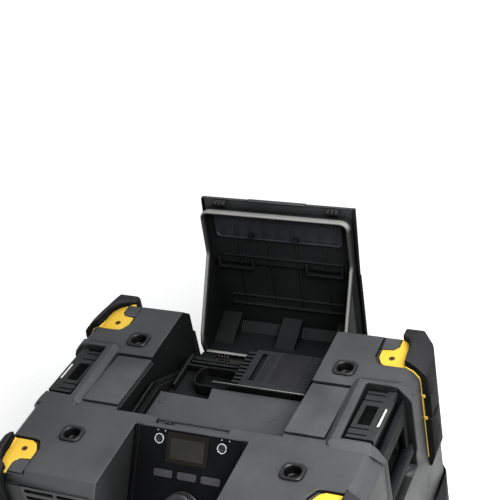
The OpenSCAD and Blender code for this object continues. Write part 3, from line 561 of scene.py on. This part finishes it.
def round_liner(bm):
    """Rounds the two front corners of the liner's wall, drawn closed."""
    bmesh.ops.transform(bm, matrix=LID_INV, verts=bm.verts)
    for cx, cy, r in ((118, -27, 10.4), (114, -23, 6.6)):
        pick = []
        for e in bm.edges:
            a, b = e.verts[0].co, e.verts[1].co
            if all(abs(abs(v.x) - cx * MM) < 2e-5 and abs(v.y - cy * MM) < 2e-5 for v in (a, b)) and abs(a.z - b.z) > 0.004:
                pick.append(e)
        if pick:
            bmesh.ops.bevel(bm, geom=pick, offset=r * MM, segments=7, profile=0.5, affect="EDGES", clamp_overlap=True)
    bmesh.ops.transform(bm, matrix=M_LID, verts=bm.verts)
    bm.normal_update()


def gasket_bottom(y):
    pts = [(-40, -24.5), (45, -24.5), (154.3, -86.6), (168, -89.7), (184.5, -86)]
    for (a, za), (b, zb2) in zip(pts, pts[1:]):
        if y <= b:
            return za + (zb2 - za) * (y - a) / (b - a)
    return -86.0


def gasket_height(y):
    return 11.0 if y < 44 else (11.9 if y < 154 else 10.4)


def gasket():
    """Fat rounded bead round the edge of the liner, with rounded front corners."""
    plan = []
    hx, y0, r = 116.0, -27.0, 11.0
    ys = [184.0, 180, 174, 168, 161, 154.3, 148] + [148 - i * (148 - 50) / 9 for i in range(1, 10)] + [46, 42, 36] + [36 - i * (36 + 14) / 5 for i in range(1, 6)] + [-15.5]
    for y in ys:
        plan.append((hx, y, 1.0, 0.0))
    for i in range(1, 9):
        a = i / 9 * pi / 2
        plan.append((hx - r + r * cos(a), y0 + r - r * sin(a), cos(a), -sin(a)))
    half = [p for p in plan]
    front = [(x, y0, 0.0, -1.0) for x in (104, 80, 50, 20, 0)]
    full = half + front + [(-x, y, -nx, ny) for x, y, nx, ny in reversed(half + front[:-1])]
    bm = bmesh.new()
    sec = []
    for sx, sy, a0 in ((1, 1, 0), (-1, 1, 90), (-1, -1, 180), (1, -1, 270)):
        for i in range(6):
            a = radians(a0 + i * 18)
            sec.append((sx * 0.2 + 2.5 * cos(a), sy, sin(a)))
    rings = []
    for x, y, nx, ny in full:
        zb2 = gasket_bottom(y)
        h = gasket_height(y)
        ring = []
        for a, sy, sn in sec:
            # the slope of the path shears the bead, so its height stays plumb
            zz = zb2 + h / 2 + sy * (h / 2 - 3.4) + 3.4 * sn
            p = P(x + nx * a, y + ny * a, 0)
            ring.append(bm.verts.new(M_LID @ Vector((p.x, p.y, DECK + zz * MM))))
        rings.append(ring)
    skin(bm, rings, True, True)
    # rear run, lying along the inside of the back wall
    back = []
    for x in (-113, -60, 0, 60, 113):
        back.append([bm.verts.new(M_LID @ P(x, 184.5 + 1.0 * cos(a), -83 + 2.8 * sin(a))) for a in [i * pi / 6 for i in range(12)]])
    skin(bm, back, True, True)
    bmesh.ops.recalc_face_normals(bm, faces=bm.faces)
    new_piece("lid_gasket_bead", bm, "gasket", "lid", 50, ("lid_gasket",))


gasket()
bevelled("lid_liner", 0.8, prep=round_liner)

# ------------------------------------------------------------------ stacking sockets
def sockets():
    bm = bmesh.new()
    for sx in (-1, 1):
        for sy in (-1, 1):
            def place(x, y, z, sx=sx, sy=sy):
                return P(sx * 160 + x, sy * 101.5 + y, z)
            rings = rings_from(bm, [(15.6, 14.1, 8.8, 0.05), (16, 14.5, 9, 0.5), (15.9, 14.4, 9, 2.0), (15.3, 13.8, 8.6, 3.0),
                                    (14.2, 12.9, 8.4, 3.5), (13.0, 11.9, 8.6, 3.45), (12.0, 11.0, 9.4, 2.9), (11.3, 10.3, 9.6, 1.9),
                                    (11.0, 10.0, 9.9, 0.4), (10.8, 9.8, 9.7, -11.2), (10.0, 9.0, 8.9, -12)], place, 9)
            skin(bm, rings, cap_last=True)
            body = rings_from(bm, [(12.4, 11.5, 5, -13.9), (12.4, 11.5, 5, 0.05), (15.6, 14.1, 8.8, 0.05)], place, 9)
            skin(bm, body, cap_first=True)
    bmesh.ops.remove_doubles(bm, verts=bm.verts, dist=2e-6)
    bmesh.ops.recalc_face_normals(bm, faces=bm.faces)
    new_piece("socket_inserts_moulded", bm, "socket", "housing", 40, ("socket_inserts",))


sockets()

# ------------------------------------------------------------------ CAD nodes with moulded edges
WIDTHS = {
    "base_pan": 1.6, "rear_cover": 0.7, "compartment_tub": 0.9, "tray_plate": 0.7,
    "battery_pocket": 0.8, "charger_housing": 0.6, "charger_plate": 0.35, "charger_terminals": 0.25,
    "deck_inlay_left": 0.9, "deck_inlay_right": 0.9, "bracket_blocks": 0.6,
    "striker_plate_left": 0.7, "striker_plate_right": 0.7, "control_panel": 0.7, "display_window": 0.3,
    "speaker_grilles": 0.5, "mains_inlet": 0.8, "stacking_feet": 1.2, "lid_keeper": 0.7,
    "lid_cover": 0.9, "lid_brackets": 0.5, "lid_catches": 0.6, 
    "volume_knob": 0.8, "preset_button_1": 0.6, "preset_button_2": 0.6, "preset_button_3": 0.6,
    "side_handle_left": 1.4, "side_handle_right": 1.4, "side_latch_left": 0.8, "side_latch_right": 0.8,
    "corner_brackets": 0.7,
}


def narrow_keeper(bm):
    """Draws the keeper's prongs closer together."""
    mid = sum(v.co.x for v in bm.verts) / len(bm.verts)
    for v in bm.verts:
        v.co.x = mid + (v.co.x - mid) * 0.58


def trim_inlay(bm):
    """Opens the slot at the inlay's rear edge."""
    top = max(v.co.y for v in bm.verts)
    for v in bm.verts:
        if v.co.y > top - 0.6 * MM:
            v.co.y -= 1.6 * MM


PREP = {"lid_keeper": narrow_keeper, "striker_plate_left": widen_plate, "striker_plate_right": widen_plate,
        "deck_inlay_left": trim_inlay, "deck_inlay_right": trim_inlay}
OTHER = {"battery_pocket": "pocket", "charger_terminals": "terminal", "lid_keeper": "soft", "striker_plate_left": "striker", "striker_plate_right": "striker", "lid_brackets": "liner"}
for node, width in WIDTHS.items():
    piece = bevelled(node, width, mat=OTHER.get(node), prep=PREP.get(node))
    if node == "lid_cover":
        # the cover's two side rims take a near-black copy of the lid plastic, painted shade
        piece.data.materials.append(MAT["lid_rim_shade"])
        for f in piece.data.polygons:
            if abs(f.center.x) > 119.0 * MM:
                f.material_index = 1


def shape_bumper(bm):
    """Trims the inner end, chamfers the outer corner of the crest and sets the side end face back."""
    sx = 1 if sum(v.co.x for v in bm.verts) > 0 else -1
    sy = 1 if sum(v.co.y for v in bm.verts) > 0 else -1
    back = 199 if sy < 0 else 207
    left_rear = sx < 0 and sy > 0
    for v in bm.verts:
        x, y = abs(v.co.x) / MM, abs(v.co.y) / MM
        if abs(x - 226) < 0.05 and abs(y - 172) < 0.05 and not left_rear:
            v.co.x = sx * 229.0 * MM
        if abs(y - 121.5) < 0.05:
            v.co.y = sy * 123.4 * MM
        elif abs(y - 124.0) < 0.05:
            v.co.y = sy * 126.4 * MM
    cuts = [((11.7, 8.9, 5.9), (245.6, back - 9.4, 0.5))]
    if left_rear:
        cuts += [((0.72, 0.15, 0.67), (263.0, 156.0, -14.0)), ((0, 11, 12), (230, 190.5, 9.0)), ((-0.9, 0, 1), (211, 190, 8.5))]
    else:
        cuts += [((-1, 0, 0), (220.0, 190, 0)), ((-0.9, 0, 1), (222.5, 190, 8.5))]
    for no, at in cuts:
        geom = list(bm.verts) + list(bm.edges) + list(bm.faces)
        bmesh.ops.bisect_plane(bm, geom=geom, dist=1e-6, plane_co=P(at[0] * sx, at[1] * sy, at[2]),
                               plane_no=Vector((no[0] * sx, no[1] * sy, no[2])).normalized(), clear_outer=True)
        rim = [e for e in bm.edges if len(e.link_faces) == 1]
        if rim:
            bmesh.ops.holes_fill(bm, edges=rim, sides=0)
    bmesh.ops.recalc_face_normals(bm, faces=bm.faces)


def bumper_pick(e):
    ys = [abs(v.co.y) / MM for v in e.verts]
    if max(ys) < 127:
        return 0.20
    zs = [(v.co.z - DECK) / MM for v in e.verts]
    if all(-96 < z < -45 for z in zs) and abs(zs[0] - zs[1]) < 2:
        return 0.25
    return 1.0


for node in ("bumper_rear_left", "bumper_rear_right", "bumper_front_left", "bumper_front_right"):
    bevelled(node, 4.5, segs=4, limit=0.40, prep=shape_bumper, pick=bumper_pick)
bevelled("lower_bumpers", 4.0, segs=3, limit=0.40)

# ------------------------------------------------------------------ lid's inner panel
def lid_plane(x, y, h):
    """A point on the panel's underside, drawn closed; h is how far it stands below the back of the panel."""
    return M_LID @ P(x, y, -4.75 - (y + 20) * 2.8 / 42 - h)


def slab(bm, loop, h0, h1, place, inset=0.5):
    """A thin plate from an outline, with softened edges on its h1 side."""
    cx = sum(p[0] for p in loop) / len(loop)
    cy = sum(p[1] for p in loop) / len(loop)

    def grow(k):
        out = []
        for x, y in loop:
            dx, dy = x - cx, y - cy
            out.append((x - k * (1 if dx > 0 else -1), y - k * (1 if dy > 0 else -1)))
        return out
    s = 1 if h1 > h0 else -1
    rings = [[bm.verts.new(place(x, y, h)) for x, y in grow(k)] for k, h in
             ((0, h0), (0, h1 - s * inset), (inset * 0.3, h1 - s * inset * 0.3), (inset, h1))]
    skin(bm, rings, True, True)


def inner_panel():
    bm = bmesh.new()
    hx, y0, y1, r = 102.5, -21.0, 19.4, 8.0

    def outline(k):
        pts = [(hx - k, y0 + k), (-hx + k, y0 + k)]
        pts = []
        for i in range(7):
            a = i / 6 * pi / 2
            pts.append((hx - k - r + r * cos(a), y1 - k - r + r * sin(a)))
        for i in range(7):
            a = pi / 2 + i / 6 * pi / 2
            pts.append((-hx + k + r + r * cos(a), y1 - k - r + r * sin(a)))
        for i in range(4):
            a = pi + i / 3 * pi / 2
            pts.append((-hx + k + 3 + 3 * cos(a), y0 + k + 3 + 3 * sin(a)))
        for i in range(4):
            a = 1.5 * pi + i / 3 * pi / 2
            pts.append((hx - k - 3 + 3 * cos(a), y0 + k + 3 + 3 * sin(a)))
        return pts
    rings = []
    for k, h in ((0, 0.1), (0, 4.0), (0.3, 4.6), (0.9, 4.8), (1.7, 4.6), (2.1, 4.0), (2.3, 3.4)):
        rings.append([bm.verts.new(lid_plane(x, y, h)) for x, y in outline(k)])
    skin(bm, rings, True, True)
    # grid of low ribs, double lines across the width
    for i in range(-4, 5):
        for d in (-2.4, 2.4):
            x = i * 22.6 + d
            loop = [(x - 0.7, -18), (x + 0.7, -18), (x + 0.7, 16.8), (x - 0.7, 16.8)]
            slab(bm, loop[::-1], 3.2, 4.25, lid_plane, 0.3)
    for y in (-9.5, -1.0, 11.5):
        loop = [(-100, y - 0.6), (100, y - 0.6), (100, y + 0.6), (-100, y + 0.6)]
        slab(bm, loop[::-1], 3.2, 4.1, lid_plane, 0.3)
    bmesh.ops.recalc_face_normals(bm, faces=bm.faces)
    new_piece("lid_inner_panel_moulded", bm, "lidpanel", "lid", 40, ("lid_inner_panel",))


inner_panel()

# ------------------------------------------------------------------ ring buttons, indicator dots, display face
RING_AT = {"power_button": (-45, -15.5), "source_button": (47, -15.5)}
for node, (bx, by) in RING_AT.items():
    def on_face(x, y, z, bx=bx, by=by):
        return M_PANEL @ Vector(((bx + x) * MM, (by + y) * MM, z * MM))
    bm = bmesh.new()
    lathe(bm, [(0, -8.25), (2, -8.25), (2, -4.4), (7.4, -4.4), (7.45, 0.7), (7.2, 1.05), (6.8, 1.15), (5.0, 1.1), (4.4, 0.75), (2.5, 0.5), (0, 0.45)], 40, on_face)
    bmesh.ops.recalc_face_normals(bm, faces=bm.faces)
    key = new_piece(node + "_key", bm, "key", BODY[node], 50, (node,))
    bm = bmesh.new()
    lathe(bm, [(5.75, 1.0), (5.82, 1.2), (5.95, 1.27), (6.4, 1.27), (6.55, 1.2), (6.62, 1.0)], 40, on_face)
    bmesh.ops.recalc_face_normals(bm, faces=bm.faces)
    new_piece(node + "_ring", bm, "ring", BODY[node], 50)


def rods():
    """Bright rods in the slots of the striker plates, with rounded ends."""
    bm = bmesh.new()
    for sx in (-1, 1):
        def place(a, b, c, sx=sx):
            # a and c across the rod, b along it
            q = M_STRIKER @ Vector((((238.9 if sx > 0 else 236.2) + a) * MM, c * MM, ((-0.7 if sx > 0 else -1.9) + b) * MM))
            return Vector((sx * q.x, q.y, q.z))
        rings = []
        for y, r in ((-73.4, 0.0), (-73.2, 1.2), (-72.4, 1.75), (-71.2, 1.9), (-36.0, 1.9), (-34.6, 1.75), (-33.8, 1.2), (-33.6, 0.0)):
            if r == 0:
                rings.append([bm.verts.new(place(0, 0, y))])
            else:
                rings.append([bm.verts.new(place(r * cos(i * pi / 10), r * sin(i * pi / 10), y)) for i in range(20)])
        skin(bm, rings)
    bmesh.ops.recalc_face_normals(bm, faces=bm.faces)
    new_piece("striker_rods_bright", bm, "rod", BODY["striker_rods"], 40, ("striker_rods",))


def block(bm, lo, hi, inset=0.3):
    """A box between two corners, in millimetres, with its upper edges softened."""
    (x0, y0, z0), (x1, y1, z1) = lo, hi
    rings = []
    for k, z in ((0, z0), (0, z1 - inset), (inset * 0.3, z1 - inset * 0.3), (inset, z1)):
        rings.append([bm.verts.new(P(x, y, z)) for x, y in ((x0 + k, y0 + k), (x1 - k, y0 + k), (x1 - k, y1 - k), (x0 + k, y1 - k))])
    skin(bm, rings, True, True)


def window_shade_pads():
    """Near-black pads of painted shade that close the striker plates' windows from below."""
    bm = bmesh.new()
    for sx in (-1, 1):
        cx = 219.4 if sx > 0 else -216.6
        rings = []
        for k, z in ((0, -9.0), (0, -7.2), (0.4, -6.8)):
            pts = [(cx - 8.2 + k, -71.2 + k), (cx + 8.2 - k, -71.2 + k), (cx + 8.2 - k, -32.3 - k), (cx - 8.2 + k, -32.3 - k)]
            rings.append([bm.verts.new(M_STRIKER @ Vector((x * MM, y * MM, z * MM))) for x, y in pts])
        skin(bm, rings, True, True)
    bmesh.ops.recalc_face_normals(bm, faces=bm.faces)
    new_piece("striker_window_painted_shade", bm, "void", "housing", 40)


def bracket_strips():
    bm = bmesh.new()
    block(bm, (-223.0, 180.6, -6.2), (-206.5, 184.6, -3.3))
    bmesh.ops.recalc_face_normals(bm, faces=bm.faces)
    new_piece("bracket_rear_strip", bm, "yellow", "housing", 40)


def charger_rail():
    bm = bmesh.new()
    rings = []
    for x, k in ((-32.8, 0.3), (-32.4, 1.0), (30, 1.0), (106.8, 1.0), (107.2, 0.3)):
        rings.append([bm.verts.new(P(x, 70.5 + k * 0.75 * cos(a), -30.0 + k * 0.55 * sin(a))) for a in [i * pi / 5 for i in range(10)]])
    skin(bm, rings, True, True)
    bmesh.ops.recalc_face_normals(bm, faces=bm.faces)
    new_piece("charger_rail_bead", bm, "railedge", BODY["charger_housing"], 50)


def screw_rings():
    bm = bmesh.new()
    for sx in (-1, 1):
        for sy in (-1, 1):
            def place(x, y, z, sx=sx, sy=sy):
                return P(sx * SCREW_AT[0] + x, sy * SCREW_AT[1] + y, z)
            lathe(bm, [(2.0, -3.62), (2.0, -3.22), (2.2, -3.16), (4.0, -3.16), (4.3, -3.24), (4.3, -3.49), (3.1, -3.62)], 28, place)
    bmesh.ops.recalc_face_normals(bm, faces=bm.faces)
    new_piece("bracket_screw_rings", bm, "rust", "housing", 40)


def lid_rim_shade_bands():
    """Near-black bands of painted shade along the outside of the liner's two side walls, under the lid's flange."""
    bm = bmesh.new()
    ys = [-12, 0, 12, 24, 36, 44] + [44 + i * 140 / 12 for i in range(1, 13)]
    for sx in (-1, 1):
        rings = []
        for y in ys:
            low = max(-33.0, gasket_bottom(y) + gasket_height(y) - 1.0)
            rings.append([bm.verts.new(M_LID @ P(sx * x, y, z)) for x, z in
                          ((117.9, -4.6), (118.55, -4.6), (118.55, low + 0.4), (118.3, low), (117.9, low))])
        skin(bm, rings, True, True)
    bmesh.ops.recalc_face_normals(bm, faces=bm.faces)
    new_piece("lid_rim_painted_shade_bands", bm, "lid_rim_shade", "lid", 40)


def panel_at(x, y, z):
    return M_PANEL @ Vector((x * MM, y * MM, z * MM))


def indicator_dots():
    bm = bmesh.new()
    for x in (-48.4, -37.4, 45.4, 56.4):
        def place(a, b, c, x=x):
            return panel_at(x + a, -4.6 + b, c)
        lathe(bm, [(1.0, -0.4), (0.95, 0.12), (0.7, 0.26), (0, 0.3)], 16, place)
    bmesh.ops.recalc_face_normals(bm, faces=bm.faces)
    new_piece("indicator_dots", bm, "mark", "housing", 60)


def display_face():
    bm = bmesh.new()
    rings = rings_from(bm, [(24.6, 13.8, 1.5, 0.12), (24.6, 13.8, 1.5, 0.30), (24.3, 13.5, 1.4, 0.36), (23.4, 12.6, 1.0, 0.30)],
                       lambda x, y, z: panel_at(-3 + x, -26 + y, z), 5)
    skin(bm, rings, True, True)
    bmesh.ops.recalc_face_normals(bm, faces=bm.faces)
    new_piece("display_cell_face", bm, "lcd", "housing", 40)


indicator_dots()
display_face()
rods()
screw_rings()
bracket_strips()
window_shade_pads()
charger_rail()
lid_rim_shade_bands()

# The rest keep their CAD shape and take a procedural material.
for node, o in NODES.items():
    if not o.hide_render:
        o.data.materials.clear()
        o.data.materials.append(MAT[{"bumper_screws": "soft", "lid_hinge_pin": "screw"}.get(node, SLOT_MAT[SLOT[node]])])

# ------------------------------------------------------------------ stage and light
def stage():
    me = bpy.data.meshes.new("floor")
    s = 14.0
    me.from_pydata([(-s, -s, 0), (s, -s, 0), (s, s, 0), (-s, s, 0)], [], [(0, 1, 2, 3)])
    o = bpy.data.objects.new("floor", me)
    bpy.context.scene.collection.objects.link(o)
    m = bpy.data.materials.new("floor_pale")
    m.use_nodes = True
    b = m.node_tree.nodes["Principled BSDF"]
    b.inputs["Base Color"].default_value = (0.80, 0.80, 0.80, 1)
    b.inputs["Roughness"].default_value = 0.9
    b.inputs["Specular IOR Level"].default_value = 0.1
    b.inputs["Emission Color"].default_value = (1, 1, 1, 1)
    # painted light: the floor glows, dimmer near the object and fading up to white away from it
    nt = m.node_tree
    tc = nt.nodes.new("ShaderNodeTexCoord")
    ln = nt.nodes.new("ShaderNodeVectorMath")
    ln.operation = "LENGTH"
    nt.links.new(tc.outputs["Object"], ln.inputs[0])
    mr = nt.nodes.new("ShaderNodeMapRange")
    mr.inputs["From Min"].default_value = 0.55
    mr.inputs["From Max"].default_value = 2.6
    mr.inputs["To Min"].default_value = 0.44
    mr.inputs["To Max"].default_value = 0.93
    nt.links.new(ln.outputs["Value"], mr.inputs["Value"])
    nt.links.new(mr.outputs[0], b.inputs["Emission Strength"])
    me.materials.append(m)


def area(name, loc, target, size, power, col=(1, 1, 1)):
    d = bpy.data.lights.new(name, "AREA")
    d.shape = "RECTANGLE"
    d.size, d.size_y = size
    d.energy = power
    d.color = col
    o = bpy.data.objects.new(name, d)
    bpy.context.scene.collection.objects.link(o)
    o.location = loc
    o.rotation_euler = (Vector(target) - Vector(loc)).to_track_quat("-Z", "Y").to_euler()
    return o


stage()
w = bpy.data.worlds.new("studio")
bpy.context.scene.world = w
w.use_nodes = True
w.node_tree.nodes["Background"].inputs[0].default_value = (0.95, 0.97, 1.0, 1)
w.node_tree.nodes["Background"].inputs[1].default_value = 0.15
area("right_front", (0.66, -0.40, 1.16), (0.34, -0.20, 0.2), (0.8, 0.8), 40)
area("back_above", (0.45, 0.9, 2.2), (0.2, 0.1, 0.3), (1.6, 1.2), 9)
bpy.context.scene.view_settings.view_transform = "Standard"

bpy.context.view_layer.update()
